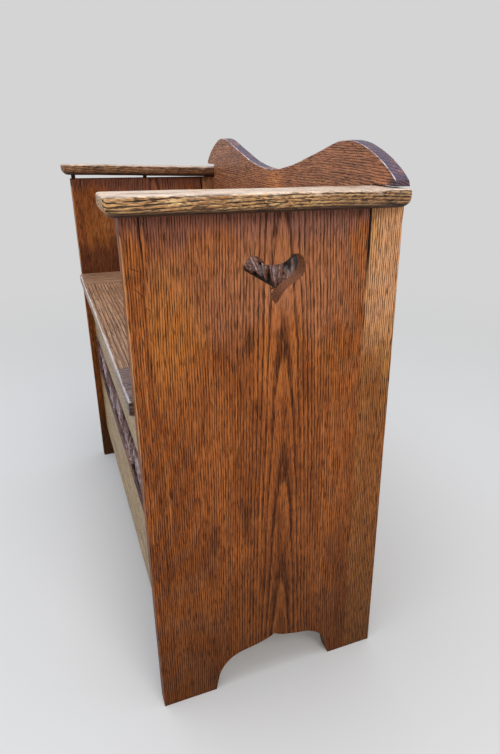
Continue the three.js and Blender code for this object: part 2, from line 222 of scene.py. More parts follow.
def oak(name, node, grain, tones, seed, ring=2.7, pith=(20, -45), slope=0.015, lean=0.0, wander=5.0,
        pore=(0.7, 18), lines=0.75, bold=0.35, dense=0.0, gloss=0.45, coat=0.05, shine=0.2, bloom=0.0,
        marks=()):
    """Oak of the named node, cut from a log along the grain axis. Growth rings are circles round the
    pith, a line (across, deep) millimetres from the board's middle that climbs by slope. Each ring
    starts with a band of open pores, dark flecks of size pore = (across, along), and slow noise
    bends the whole figure. A painted reflection of the light above, to its given share, tints what
    faces up. Marks are (kind, start or middle, end or radii, ...) of scratches and smudges, as
    (along, across) from the board's middle; an inside smudge lies only where deep is above zero."""
    finish = Finish(name, Coat_Weight=coat, Coat_Roughness=0.3, Specular_IOR_Level=shine)
    x, y, z = finish.millimetres()
    middle = (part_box(node)[0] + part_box(node)[1]) * 500
    order = {"X": (0, 2, 1), "Y": (1, 0, 2), "Z": (2, 1, 0)}[grain]
    along, across, deep = ((x, y, z)[k] - middle[k] for k in order)
    place = (along, across)
    turned = across * math.cos(lean) - along * math.sin(lean)
    along = along * math.cos(lean) + across * math.sin(lean)
    shifted = along + seed * 431.0

    def figure(over, cell, *rest):
        return finish.noise(over, deep, shifted, cell, *rest)

    bend = figure(turned + seed * 57.0, (60, 60, 300))
    ripple = figure(turned + seed * 91.0, (13, 30, 60))
    across = turned + (bend - 0.5) * (2 * wander) + (ripple - 0.5) * 2.4
    from_pith = across - pith[0]
    deep_from_pith = deep - pith[1]
    radius = (from_pith * from_pith + deep_from_pith * deep_from_pith).root() + along * slope
    ring_place = (radius / ring).fraction()
    broken = figure(across + 150, (2.2, 2.2, pore[1] * 1.8), 2.0)
    early = finish.step(ring_place, 0.42, 0.12) + finish.step(ring_place, 0.90, 1.0)
    band = early * finish.step(broken, 0.34, 0.56)
    fine = figure(across, (pore[0], pore[0], pore[1]), 1.5)
    large = figure(across + 300, (pore[0] * 2, pore[0] * 2, pore[1] * 2.2), 2.0)
    streak = figure(across + 700, (4.5, 9, 220), 3.0, 0.6)
    cloud = figure(across + 900, (42, 42, 120), 4.0, 0.6)
    fleck = finish.noise(across, deep + 400, shifted, (1.3, 1.3, 7.0), 1.0)
    fine_pores = finish.step(fine + early * 0.08, 0.55, 0.64)
    large_pores = finish.step(large + early * 0.10 + dense, 0.62, 0.69)
    hair = figure(across + 1200, (0.7, 0.7, 34), 1.0)
    colour = finish.blend(finish.step(cloud, 0.34, 0.66), tones["dark"], tones["light"])
    colour = finish.blend(finish.step(streak, 0.52, 0.70) * 0.8, colour, tones["glow"])
    colour = finish.blend(finish.step(streak, 0.46, 0.28) * 0.5, colour, tones["band"])
    colour = finish.blend(finish.step(fleck, 0.58, 0.75) * 0.40, colour, tones["glow"])
    colour = finish.blend(finish.step(hair, 0.52, 0.66) * 0.55, colour, tones["glow"])
    for kind, *size in [mark for mark in marks if mark[0] != "scratch"]:
        share, tint = (finish.foot if kind == "foot" else finish.smudge)(*place, cloud, *size)
        share = share * finish.step(deep, 2, 8) if kind == "inside" else share
        colour = finish.blend(share, colour, tint)
    smear = finish.noise(x, y, z, (38, 38, 38), 4.0, 0.6)
    # Painted reflection: what faces up takes, in patches, the pale or bluish tone of the light mirrored in
    # it.
    if bloom:
        facing = finish.node("NewGeometry", {}, {}, "Normal")
        up = finish.node("SeparateXYZ", {}, {0: facing}, "Z")
        reflection_share = finish.step(up, 0.1, 0.8) * finish.step(smear + (fine - 0.5) * 0.9, 0.20, 0.50) * bloom
        colour = finish.blend(reflection_share, colour, tones["bloom"])
    colour = finish.blend(finish.step(ring_place, 0.55, 0.8) * 0.22, colour, tones["glow"])
    colour = finish.blend(band * lines, colour, tones["band"])
    colour = finish.blend(fine_pores * 0.75, colour, tones["pore"])
    colour = finish.blend(large_pores * bold, colour, tones["pore"])
    for kind, *size in [mark for mark in marks if mark[0] == "scratch"]:
        share, tint = finish.scratch(*place, cloud, *size)
        colour = finish.blend(share, colour, tint)
    if bloom:
        colour = finish.blend(reflection_share * 0.5, colour, tones["bloom"])
    rub = figure(across, (6, 6, 22), 3.0)
    worn = finish.step(finish.attribute("worn") + (rub - 0.5) * 1.1, 0.42, 0.95)
    colour = finish.blend(worn * 0.85, colour, tones["worn"])
    # The hollow share takes the darkest tone: wax and dirt in the carvings, painted shade on the arms'
    # undersides.
    hollow = finish.attribute("hollow")
    colour = finish.blend(finish.step(hollow, 0.18, 0.66) * 0.95, colour, tones["grime"])
    roughness = gloss + fine_pores * 0.2 + large_pores * 0.2 + (smear - 0.5) * 0.3 + hollow * 0.2
    height = 0.5 - fine_pores * 0.35 - large_pores * bold - band * 0.25 + (smear - 0.5) * 0.5
    return finish.cover(colour, roughness, height, pore_depth)


# Long, short and shortest waves of wear: length over two pi, turn per seed, share.
wear_waves = ((0.047, 1.0, 0.45), (0.0131, 2.3, 0.35), (0.0047, 4.1, 0.2))


def wobble(distance, seed):
    """Hand wear along an edge: a sum of three sines of the distance along it, from -1 to 1."""
    return sum(share * np.sin(distance / length + turn * seed) for length, turn, share in wear_waves)


def area_of(loop):
    """Twice the signed area of a closed outline: positive where it runs anticlockwise."""
    after = np.roll(loop, -1, axis=0)
    return float(np.sum(loop[:, 0] * after[:, 1] - loop[:, 1] * after[:, 0]))


def stations(loop, spacing):
    """The outline with extra points along its straight stretches, and the distance to each."""
    closed = np.vstack([loop, loop[:1]])
    run = np.concatenate([[0], np.cumsum(np.linalg.norm(np.diff(closed, axis=0), axis=1))])
    even = np.arange(0, run[-1], spacing)
    apart = np.min(np.abs(even[:, None] - run[None, :]), axis=1) > spacing * 0.3
    at = np.sort(np.concatenate([run[:-1], even[apart]]))
    return np.column_stack([np.interp(at, run, closed[:, 0]), np.interp(at, run, closed[:, 1])]), at


def ring_faces(index):
    """The four-sided faces between each ring of point numbers and the next."""
    beside = np.roll(index, -1, axis=1)
    return np.stack([index[:-1], beside[:-1], beside[1:], index[1:]], -1).reshape(-1, 4).tolist()


sharpest = 0.4     # the least divisor of a mitre, so that a sharp corner's stays short


def mitres(loop):
    """At each point of an outline, the step that moves both its edges out by one: the sum of their
    outward normals, divided by one plus the cosine between them."""
    edge = np.roll(loop, -1, axis=0) - loop
    edge /= np.linalg.norm(edge, axis=1, keepdims=True)
    normal = np.column_stack([edge[:, 1], -edge[:, 0]])
    before = np.roll(normal, 1, axis=0)
    cosine = np.sum(normal * before, axis=1, keepdims=True)
    return (normal + before) / np.maximum(1 + cosine, sharpest)


COLUMNS = {"X": (2, 0, 1), "Y": (1, 2, 0), "Z": (0, 1, 2)}
worn_band = 0.0035      # how far past an arris the polish is rubbed
arris_unevenness = 0.45
sheltered_arris = 0.2   # share of the arris left where nothing rubs it
rub_at_face = 0.45      # share of the wear where a face meets its arris


def everywhere(loop):
    return np.ones(len(loop))


def slab(loops, axis, low, high, arris, seed=1.0, share=everywhere, spacing=0.009, steps=4):
    """A board sawn to outlines in the plane across its axis, Y and Z for X, Z and X for Y, X and Y for
    Z. Round each arris the outline is inset by r * (1 - sin t) and lies r * (1 - cos t) in from the
    face, t from 0 to a right angle, where r is the arris times one plus the wobble of its wear, and
    less where share says that the edge has been sheltered."""
    turn = np.linspace(0, math.pi / 2, steps + 1)
    inset = np.concatenate([[1.0], 1 - np.sin(turn), [0.0]])
    sink = np.concatenate([[0.0], 1 - np.cos(turn), [1.0]])
    past = np.concatenate([[1.0], np.zeros(steps + 2)])
    down = np.concatenate([np.zeros(steps + 2), [1.0]])
    rub = np.concatenate([[0.0, rub_at_face], np.full(steps - 1, 1.0), [rub_at_face, 0.0]])
    points, faces, worn, rims = [], [], [], []
    start = 0
    for number, loop in enumerate(loops):
        wanted = 1 if number == 0 else -1
        loop = np.asarray(loop, float)
        loop = loop if area_of(loop) * wanted > 0 else loop[::-1]
        loop, run = stations(loop, spacing)
        out = mitres(loop)
        bare = share(loop)
        rubbed = sheltered_arris + (1 - sheltered_arris) * bare
        radius = arris * (1 + arris_unevenness * wobble(run, seed + number)) * rubbed
        count = len(loop)
        shape = (2 * len(inset), count)
        inward = np.concatenate([inset, inset[::-1]])[:, None] * radius
        inward = inward + worn_band * np.concatenate([past, past[::-1]])[:, None]
        depth = sink[:, None] * radius + worn_band * down[:, None]
        heights = np.concatenate([low + depth, high - depth[::-1]])
        flat = loop[None] - inward[..., None] * out[None]
        points.append(np.dstack([flat, heights]).reshape(-1, 3))
        worn.append((np.concatenate([rub, rub[::-1]])[:, None] * bare[None]).ravel())
        index = np.arange(start, start + shape[0] * count).reshape(shape)
        faces += ring_faces(index)
        rims.append((index[0], index[-1]))
        start += shape[0] * count
    points = np.vstack(points)
    for end, facing in ((0, -1), (1, 1)):
        rim = [ring[end] for ring in rims]
        order = np.concatenate(rim)
        cap = tessellate_polygon([[Vector((*points[i, :2], 0)) for i in ring] for ring in rim])
        cap = order[np.array(cap)]
        a, b, c = (points[cap[:, k], :2] for k in range(3))
        spin = (b[:, 0] - a[:, 0]) * (c[:, 1] - a[:, 1]) - (b[:, 1] - a[:, 1]) * (c[:, 0] - a[:, 0])
        cap[spin * facing < 0] = cap[spin * facing < 0][:, ::-1]
        faces += cap.tolist()
    return points[:, COLUMNS[axis]], faces, {"worn": np.concatenate(worn)}


def piece(name, shape, material, nodes, body="carcase", smooth=40):
    """Makes one finished piece from its points, faces and per-point numbers, in place of CAD nodes."""
    points, faces, numbers = shape
    mesh = bpy.data.meshes.new(name)
    mesh.from_pydata(np.asarray(points).tolist(), [], faces)
    for key, values in numbers.items():
        mesh.attributes.new(key, "FLOAT", "POINT").data.foreach_set("value", values.astype(np.float32))
    mesh.shade_smooth()
    mesh.set_sharp_from_angle(angle=math.radians(smooth))
    mesh.materials.append(material)
    made = bpy.data.objects.new(name, mesh)
    bpy.context.scene.collection.objects.link(made)
    even = made.modifiers.new("even shading", "WEIGHTED_NORMAL")
    even.keep_sharp = True
    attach(made, body)
    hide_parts(*nodes)


def oblong(u0, u1, v0, v1):
    return np.array([(u0, v0), (u1, v0), (u1, v1), (u0, v1)])


def bow(points, count=14):
    """A Bezier curve through its control points, from the first up to but without the last: the sum
    of each point times its Bernstein weight."""
    points = np.array(points, float)
    order = len(points) - 1
    t = np.arange(count)[:, None] / count
    k = np.arange(order + 1)
    choose = np.array([math.comb(order, int(i)) for i in k])
    return (choose * t ** k * (1 - t) ** (order - k)) @ points


end_low, end_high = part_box("right_end_middle_board")
arch_centre = 0.010
arch_half = 0.096
arch_haunch = 0.028       # height where the upright foot turns into the haunch
arch_lean = 0.006
arch_bend = 0.080
arch_shoulder = 0.063
arch_shoulder_half = 0.050
arch_round = 0.006        # the haunch's corner below the shoulder, and the swell above it
arch_swell = 0.012
arch_cusp = 0.078


def foot_arch(side):
    """Half of the foot arch, from the floor to the cusp on one side: a short upright, a quarter-round
    haunch and a shallow rise to the point in the middle."""
    def at(across, up):
        return arch_centre + side * across, up

    foot = at(arch_half, 0.0)
    knee = at(arch_half - arch_lean, arch_haunch)
    bend = at(arch_bend, arch_shoulder - arch_round)
    shoulder = at(arch_shoulder_half, arch_shoulder)
    swell = at(arch_swell, arch_shoulder + arch_round)
    cusp = at(0.0, arch_cusp)
    return np.vstack([[foot], bow([knee, bend, shoulder]), bow([shoulder, swell, cusp]), [cusp]])


def end_outline(top):
    """The middle board's outline in (Y, Z): the foot arch, then round by its top."""
    left, right = end_low[1], end_high[1]
    arch = np.vstack([foot_arch(-1), foot_arch(1)[::-1][1:]])
    corners = [(right, 0.0), (right, top), (left, top), (left, 0.0)]
    return np.vstack([arch, corners])


heart_height = 0.637


def heart():
    """The pierced heart in (Y, Z): a broad right lobe, a narrower left lobe and a tail that hooks."""
    runs = [
        [(1, 18.5), (9, 18.5), (14, 21), (19, 26)],
        [(19, 26), (24, 31), (31, 32), (36, 25)],
        [(36, 25), (42, 16), (41, 7), (33, 0.5)],
        [(33, 0.5), (24, -6), (14, -9), (7, -21)],
        [(7, -21), (4, -27), (1, -29.5)],
        [(1, -29.5), (-4, -25), (-6.5, -19.5)],
        [(-6.5, -19.5), (-4, -13), (-0.5, -10)],
        [(-0.5, -10), (-39, 14)],
        [(-39, 14), (-41, 18), (-36, 29), (-30, 30.5)],
        [(-30, 30.5), (-22, 31), (-17, 26), (-12, 19)],
        [(-12, 19), (1, 18.5)],
    ]
    centre = np.array((arch_centre, heart_height))
    return centre + np.vstack([bow(run, 8 if len(run) > 2 else 2) for run in runs]) * 0.001


end_tones = palette(
    light=(160, 90, 44), dark=(122, 62, 28), glow=(196, 116, 54), band=(76, 37, 18), pore=(34, 17, 10),
    worn=(206, 156, 106), grime=(26, 14, 8),
)
strip_tones = dict(end_tones, light=shade(206, 146, 84), dark=shade(164, 100, 50), glow=shade(224, 162, 90))
end_arris = 0.0016
seams = (end_low[1], end_high[1])
seam_width = 0.0012
unrubbed_below = 0.14     # boots and brooms reach here, but hands do not
rubbed_over = 0.40        # height over which the wear grows to its full share
full_rub = 0.9
sheltered_above = 0.700   # the arms cover the panels' tops
sheltered_rub = 0.15
heart_rub = 0.1


def end_share(loop):
    """Wear on an end panel's edges: none along the glued seams or round the heart, little under the
    arms, and fading down to the feet."""
    if loop[:, 1].min() > arch_cusp:
        return np.full(len(loop), heart_rub)
    seam = np.minimum(np.abs(loop[:, 0] - seams[0]), np.abs(loop[:, 0] - seams[1])) < seam_width
    share = np.clip((loop[:, 1] - unrubbed_below) / rubbed_over, 0.0, full_rub)
    return np.where(seam, 0.0, np.where(loop[:, 1] > sheltered_above, sheltered_rub, share))


dark_line = shade(34, 18, 12)
# Darker towards the feet: partly dirt near the floor, partly painted shade of the light falling off lower
# down.
low_brown = shade(70, 33, 4)
# Painted sheen: a lighter patch near the top of the middle board.
wax_bloom = shade(194, 132, 98)
# Painted shade: a patchy dark band across each panel just below the arm.
painted_shade_under_arm = ("smudge", (362, 0), (44, 500), 0.5, shade(112, 82, 88))
middle_marks = [
    ("foot", 100, -400, 0.9, low_brown),
    ("smudge", (290, 30), (110, 190), 0.45, wax_bloom), painted_shade_under_arm,
    ("smudge", (215, -112), (100, 46), 0.45, shade(210, 132, 58)),
    ("smudge", (205, -18), (26, 9), 0.55, dark_line), ("smudge", (-56, -26), (30, 8), 0.6, dark_line),
    ("smudge", (118, -9), (16, 4), 0.6, dark_line), ("smudge", (-56, 20), (24, 4), 0.6, dark_line),
    ("smudge", (-112, -46), (30, 9), 0.4, shade(196, 100, 36)),
    ("smudge", (160, 96), (50, 22), 0.35, shade(196, 116, 52)),
    ("scratch", (240, -152), (231, -141), 0.9, 0.55, dark_line),
    ("scratch", (268, -150), (250, -131), 1.0, 0.5, dark_line),
]
front_marks = [
    ("foot", 60, -420, 0.9, low_brown), painted_shade_under_arm,
    ("scratch", (285, -3), (268, 12), 1.0, 0.6, dark_line),
    ("scratch", (306, -5), (299, 8), 1.0, 0.55, dark_line),
    ("scratch", (380, 10.2), (296, 10.6), 1.7, 1.0, dark_line),
]
back_marks = [
    ("smudge", (290, 6), (150, 60), 0.75, shade(230, 170, 128)),
    ("foot", 260, 60, 0.9, shade(140, 78, 36)), ("foot", 40, -420, 0.88, low_brown),
    ("scratch", (400, -23.4), (240, -23.0), 3.6, 1.0, dark_line),
    ("scratch", (244, -23.2), (186, -23.6), 1.6, 0.8, dark_line),
]
# Painted shade on the far end: dark patches on its inner face and a darker front edge and foot.
far_panel_painted_shade = [
    ("inside", (160, 0), (80, 300), 0.8, shade(58, 28, 30)),
    ("inside", (300, 0), (190, 400), 0.35, shade(100, 52, 34)),
    ("foot", -120, -300, 0.8, shade(46, 30, 16)),
]
boards = [
    ("front", 3.1, end_tones, (150, -50), front_marks),
    ("middle", 1.0, end_tones, (26, -50), middle_marks),
    ("back", 5.7, strip_tones, (-96, -34), back_marks),
]
for label, later, extra in (("right", 0, []), ("left", 11, far_panel_painted_shade)):
    for part, seed, tones, pith, marks in boards:
        node = f"{label}_end_{part}_board"
        low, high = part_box(node)
        wood = oak(f"{node}_oak", node, "Z", tones, seed + later, pith=pith, marks=marks + extra,
                   coat=0.0, shine=0.1)
        loops = [oblong(low[1], high[1], low[2], high[2])]
        if part == "middle":
            loops = [end_outline(high[2]), heart()]
        shape = slab(loops, "X", low[0], high[0], end_arris, seed, end_share)
        piece(f"{label}_end_{part}", shape, wood, [node])

# ---- The arms ------------------------------------
# A flat oak board lies on each end, planed to a broad round underneath and a small one on top. Hands
# have rubbed the stain to gold, and the bold pores run a little aslant. The left arm has lifted at
# the front, and three dark dowels hold each arm.
arm_thick = 0.022
arm_half_length = 0.1815
arm_middle = -0.0015
arm_underside = 0.717
arm_points_apart = 0.0035
arm_unevenness = 0.12
arm_wind = 0.00045        # how far the old board has warped
warp_stretch = 0.35       # the warp's waves are longer than those of wear by one over this
side_rub, under_rub, top_rub = 0.5, 0.2, 0.35
underside_shade_share = 0.85         # painted shade on the underside, fading out at the height set on the next line
underside_shade_reach = 0.011


def arm_shape(node, under, over, corner, tilt, seed):
    """A rounded plank. Level by level its plan is an oblong, inset by r * (1 - sin t) where the level
    lies r * (1 - cos t) in from the face; points past a corner's circle are drawn back onto it. Its
    underside is darkened with painted shade and its top is rubbed."""
    low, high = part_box(node)
    half = np.array(((high[0] - low[0]) / 2, arm_half_length))
    middle = (high[0] + low[0]) / 2
    walk, run = stations(oblong(-half[0], half[0], -half[1], half[1]), arm_points_apart)
    lower = np.linspace(0, math.pi / 2, 9)
    upper = np.linspace(math.pi / 2, 0, 6)
    inset = np.concatenate([[1.25], 1 - np.sin(lower)]) * under
    level = np.concatenate([[0.0], 1 - np.cos(lower)]) * under
    inset = np.concatenate([inset, (1 - np.sin(upper)) * over, [over * 2.5]])
    level = np.concatenate([level, arm_thick - (1 - np.cos(upper)) * over, [arm_thick]])
    wear = 1 + arm_unevenness * wobble(run, seed)
    size = half - inset[:, None, None] * wear[None, :, None]
    spot = walk[None] / half * size
    reach = np.abs(spot) - (size - corner)
    out = np.maximum(reach, 0)
    span = np.maximum(np.linalg.norm(out, axis=2, keepdims=True), 1e-9)
    drawn = np.where((reach > 0).all(axis=2, keepdims=True) & (span > corner), out * corner / span, reach)
    spot = np.sign(spot) * (size - corner + drawn)
    height = level[:, None] + arm_wind * wobble(spot[..., 1] * warp_stretch, seed)
    points = np.dstack([spot[..., 0], spot[..., 1] + arm_middle, height]).reshape(-1, 3)
    index = np.arange(points.shape[0]).reshape(len(level), -1)
    faces = ring_faces(index) + [index[0][::-1].tolist(), index[-1].tolist()]
    turn = np.array(Matrix.Rotation(tilt, 3, "X"))
    points = points @ turn.T + np.array((middle, 0, arm_underside))
    worn = np.repeat(np.where(np.arange(len(level)) > len(lower), side_rub, under_rub), index.shape[1])
    worn[index[-1]] = top_rub
    # Painted shade on the underside, darkest at the bottom face.
    underside_shade = underside_shade_share * np.clip(1 - level / underside_shade_reach, 0, 1)
    return points, faces, {"worn": worn, "hollow": np.repeat(underside_shade, index.shape[1])}


# The pale tone laid on the arms' tops is a painted reflection.
arm_tones = palette(
    light=(216, 160, 98), dark=(158, 104, 58), glow=(250, 208, 148), band=(76, 42, 24), pore=(34, 20, 13),
    worn=(242, 222, 200), grime=(50, 28, 16), bloom=(240, 216, 196),
)
far_arm_tones = dict(arm_tones, light=shade(160, 110, 72), dark=shade(112, 70, 44), glow=shade(198, 146, 98))
under_round, over_round, plan_corner = 0.012, 0.0026, 0.006
arms = (("right", 0.0, 2.0, arm_tones), ("left", -0.0242, 7.0, far_arm_tones))
for label, tilt, seed, tones in arms:
    wood = oak(f"{label}_arm_oak", f"{label}_arm", "Y", tones, seed, ring=3.6, pith=(24, -34), lean=0.12,
               wander=9, pore=(0.95, 12), lines=0.8, bold=0.8, dense=0.05, gloss=0.42, coat=0.12, shine=0.3,
               bloom=0.8, marks=[("foot", -20, 150, 0.6, shade(104, 66, 42))])
    shape = arm_shape(f"{label}_arm", under_round, over_round, plan_corner, tilt, seed)
    piece(f"{label}_arm_board", shape, wood, [f"{label}_arm"])

dowel_tones = palette(
    light=(74, 50, 34), dark=(50, 32, 22), glow=(84, 54, 34), band=(36, 24, 17), pore=(18, 12, 9),
    worn=(110, 80, 56), grime=(18, 12, 9),
)
dowel_oak = oak("dowel_oak", "left_arm_dowel_front", "Z", dowel_tones, 4.0, pore=(0.5, 6), gloss=0.6)


def dress(node, material):
    """Gives a CAD node that is shown as it is its material."""
    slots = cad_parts[node].data.materials
    slots.clear()
    slots.append(material)


for label in ("left", "right"):
    for part in ("front", "middle", "back"):
        dress(f"{label}_arm_dowel_{part}", dowel_oak)

# ---- The crest board -----------------------------
# The top board of the back is sawn to two humps with a valley between them, and its ends sail over
# the arms. It is red-brown under an old wax polish, and its arrises are rubbed to a thin pale line.
crest_low, crest_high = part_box("crest_board")
crest_shoulder = 0.7411
crest_notch = 0.3705
crest_notch_foot = 0.7115
crest_body = 0.394
hump_rise = {-1: 1.03, 1: 0.94}
crest_edge = np.array([
    (0, 745), (44, 747.5), (80, 752), (114, 758), (155, 767.5), (199, 778), (235, 787), (268, 794.5),
    (298, 797), (328, 793.5), (356, 785.5), (380, 776), (401, 765), (416, 755.5), (425.5, 748),
]) * 0.001


def through(points, count=5):
    """A smooth curve through the given points (Catmull-Rom): between two of them, the cubic whose
    slope at each is half the step between its two neighbours."""
    points = np.asarray(points, float)
    padded = np.vstack([2 * points[0] - points[1], points, 2 * points[-1] - points[-2]])
    a, b, c, d = (padded[k:len(padded) - 3 + k][:, None] for k in range(4))
    t = (np.arange(count) / count)[None, :, None]
    spans = 0.5 * (2 * b + (c - a) * t + (2 * a - 5 * b + 4 * c - d) * t ** 2
                   + (3 * b - a - 3 * c + d) * t ** 3)
    return np.vstack([spans.reshape(-1, 2), points[-1:]])


def crest_outline():
    valley = crest_edge[0, 1]
    halves = {}
    for hand, rise in hump_rise.items():
        tops = valley + rise * (crest_edge[:-1, 1] - valley)
        halves[hand] = np.column_stack([hand * crest_edge[:, 0], np.append(tops, crest_edge[-1, 1])])
    top = through(np.vstack([halves[1][::-1], halves[-1][1:]]))
    right = [(crest_body, crest_low[2]), (crest_body, crest_notch_foot), (crest_notch, crest_notch_foot),
             (crest_notch, crest_shoulder), (crest_high[0], crest_shoulder)]
    left = [(-across, up) for across, up in reversed(right)]
    return np.vstack([right, top, left])


# The crest's upward faces take a dark bluish painted reflection.
crest_tones = palette(
    light=(188, 118, 80), dark=(152, 92, 62), glow=(218, 148, 98), band=(92, 50, 32), pore=(48, 26, 18),
    worn=(232, 214, 212), grime=(30, 18, 14), bloom=(62, 64, 96),
)
crest_rub = 0.7
above_shoulder = 0.002
crest_arris = 0.0017


def crest_share(loop):
    """The crest is rubbed along its top edge and on its ends, but not in the notches for the arms."""
    return np.where(loop[:, 0] > crest_shoulder + above_shoulder, crest_rub, 0.0)


crest_marks = [
    ("smudge", (24, 12), (60, 30), 0.9, shade(222, 140, 80)),
    ("smudge", (34, 14), (9, 5), 0.6, shade(236, 190, 144)),
    ("smudge", (-215, 44), (70, 60), 0.35, shade(120, 82, 76)),
    ("scratch", (236, 14), (292, 13), 1.3, 0.85, dark_line),
    # Painted reflection: the crest's near end is darkened to a dark blue-grey.
    ("smudge", (422, 30), (26, 20), 1.0, shade(62, 54, 74)),
]
crest_oak = oak("crest_oak", "crest_board", "X", crest_tones, 6.0, ring=3.4, pith=(-60, -40), slope=0.008,
                wander=8, lines=0.6, pore=(0.7, 15), gloss=0.42, coat=0.15, shine=0.3, bloom=0.9,
                marks=crest_marks)
crest_outlines = [crest_outline()[:, ::-1]]
crest_shape = slab(crest_outlines, "Y", crest_low[1], crest_high[1], crest_arris, 2.4, crest_share)
piece("crest", crest_shape, crest_oak, ["crest_board"])

# ---- The plain back boards -----------------------
# Two wide oak boards close the back below the carved rail. They run the settle's length, butted between
# the ends. They are planed, stained brown and hardly handled, so their arrises are nearly sharp.
back_tones = palette(
    light=(140, 84, 50), dark=(100, 56, 33), glow=(150, 86, 44), band=(76, 42, 26), pore=(40, 23, 15),
    worn=(190, 144, 108), grime=(26, 15, 10),
)


def plank(node, axis, material, arris=0.0014, seed=1.0, body="carcase", share=everywhere):
    """A plain board of the node's size, whose thickness lies along the axis."""
    low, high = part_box(node)
    u, v = {"X": (1, 2), "Y": (2, 0), "Z": (0, 1)}[axis]
    k = "XYZ".index(axis)
    shape = slab([oblong(low[u], high[u], low[v], high[v])], axis, low[k], high[k], arris, seed, share)
    piece(node + "_worn", shape, material, [node], body)


def slightly(loop):
    return np.full(len(loop), 0.25)


for node, seed, pith in (("back_upper_board", 8.0, (20, 60)), ("back_lower_board", 9.0, (-40, 70))):
    wood = oak(f"{node}_oak", node, "X", back_tones, seed, pith=pith, gloss=0.5)
    plank(node, "Y", wood, seed=seed, share=slightly)

# ---- The carved rails ----------------------------
# A rail under the crest and a rail across the chest are carved from the solid with a running band of
# fluted leaves on a waving stem, cut back to a punched ground. Wax and dirt lie black in the hollows
# and the ridges are rubbed pale, with a painted lavender highlight laid on them.
carving_depth = 0.0115
carving_step = 0.00112     # between the points of the carved face
margin = 0.0035            # plain border round the band
margin_slope = 0.0012
stem_swing, stem_radius = 0.034, 0.0062
eye_rise, eye_radius = 0.016, 0.0145
fan_root = (0.004, 0.040)  # where a fan's five lobes meet, before the swing and below it
fan_clear = 0.045          # no fan closer than this to a rail's end
fan_lobes = (              # lean in degrees, length, half width, flutes, bend
    (18, 0.070, 0.0120, 3, 0.018), (48, 0.084, 0.0140, 5, 0.012), (83, 0.080, 0.0140, 5, -0.004),
    (118, 0.074, 0.0130, 5, -0.012), (152, 0.064, 0.0115, 3, -0.018),
)
long_leaf_start, long_leaf_rise = 0.006, 0.012
long_leaf_size = (0.098, 0.017, 2, 0.004)
slit_half, slit_share = 0.0028, 0.85
ground_level, punch_depth, chisel_depth = 0.03, 0.10, 0.035
punch_waves = (0.0011, 0.003, 0.0012)
chisel_waves = (0.0017, 0.0031)
# The ridges' pale share is rubbed wood and a painted highlight.
ridge_from, ridge_span, ridge_rub_and_highlight = 0.70, 0.28, 0.75


def lobe(x, v, root, lean, length, half_width, flutes, bend=0.0):
    """One fluted leaf lobe, 0 to 1 high. Along it s runs from 0 at the root to 1 at the tip and across
    it w from -1 to 1; its half width goes as sin(pi * s ** 0.8), its section is a half round, and
    its flutes are cosine waves across w that fade at both ends."""
    along = ((x - root[0]) * math.cos(lean) + (v - root[1]) * math.sin(lean)) / length
    across = (v - root[1]) * math.cos(lean) - (x - root[0]) * math.sin(lean)
    across = across - bend * along ** 2
    s = np.clip(along, 0, 1)
    half = np.maximum(half_width * np.sin(math.pi * s ** 0.8) ** 0.7, 1e-6)
    w = across / half
    inside = (along > 0) & (along < 1) & (np.abs(w) < 1)
    section = np.sqrt(np.clip(1 - w ** 2, 0, 1))
    fluting = 0.5 + 0.5 * np.cos(math.pi * flutes * w)
    rise = (0.62 + 0.2 * np.sin(math.pi * s)) * section ** 0.7 + 0.24 * fluting * section
    return np.where(inside, np.clip(rise, 0, 1), 0)


def boss(x, v, centre, radius):
    """A scroll's eye: a dome with one spiral groove, the cosine of its turning angle less distance."""
    far = np.hypot(x - centre[0], v - centre[1])
    angle = np.arctan2(v - centre[1], x - centre[0])
    dome = np.sqrt(np.clip(1 - (far / radius) ** 2, 0, 1))
    groove = 0.5 + 0.5 * np.cos(angle - far / radius * 7.5)
    return dome ** 0.6 * (0.62 + 0.3 * groove)


def stem(x, v, swing, pitch, phase, radius):
    """A half-round stem along v = swing * cos(pi * x / pitch + phase), by the distance across it."""
    angle = math.pi * x / pitch + phase
    slope = -swing * math.pi / pitch * np.sin(angle)
    off = (v - swing * np.cos(angle)) / np.sqrt(1 + slope ** 2)
    return 0.7 * np.sqrt(np.clip(1 - (off / radius) ** 2, 0, 1))


def leaf_band(x, v, pitch, phase, half_length, leaves, pockets):
    """The whole band, 0 at the ground to 1 at the face: the highest of its stem, its scroll eyes, a
    fan of five lobes at each swing of the stem and one long slit leaf at each end. Over these lie
    the given leaves, and the pockets (low x, high x, low v, high v) go down to the ground."""
    height = stem(x, v, stem_swing, pitch, phase, stem_radius)
    for unit in range(-4, 5):
        centre = (unit - phase / math.pi) * pitch
        up = 1 if unit % 2 else -1
        if abs(centre) > half_length - fan_clear:
            continue
        root = (centre - fan_root[0], -up * fan_root[1])
        for lean, length, width, flutes, bend in fan_lobes:
            turn = math.radians(lean * up)
            height = np.maximum(height, lobe(x, v, root, turn, length, width, flutes, bend * up))
        height = np.maximum(height, boss(x, v, (centre + pitch / 2, up * eye_rise), eye_radius))
    for hand in (-1, 1):
        root = (hand * (half_length - long_leaf_start), long_leaf_rise)
        turn = math.pi if hand > 0 else 0.0
        long_leaf = lobe(x, v, root, turn, *long_leaf_size)
        slit = 1 - slit_share * np.exp(-((v - long_leaf_rise) / slit_half) ** 2)
        height = np.maximum(height, long_leaf * slit)
    for leaf in leaves:
        over = lobe(x, v, *leaf)
        height = np.where(over > 0, over, height)
    for left, right, below, above in pockets:
        height = np.where((x > left) & (x < right) & (v > below) & (v < above), 0.0, height)
    return height


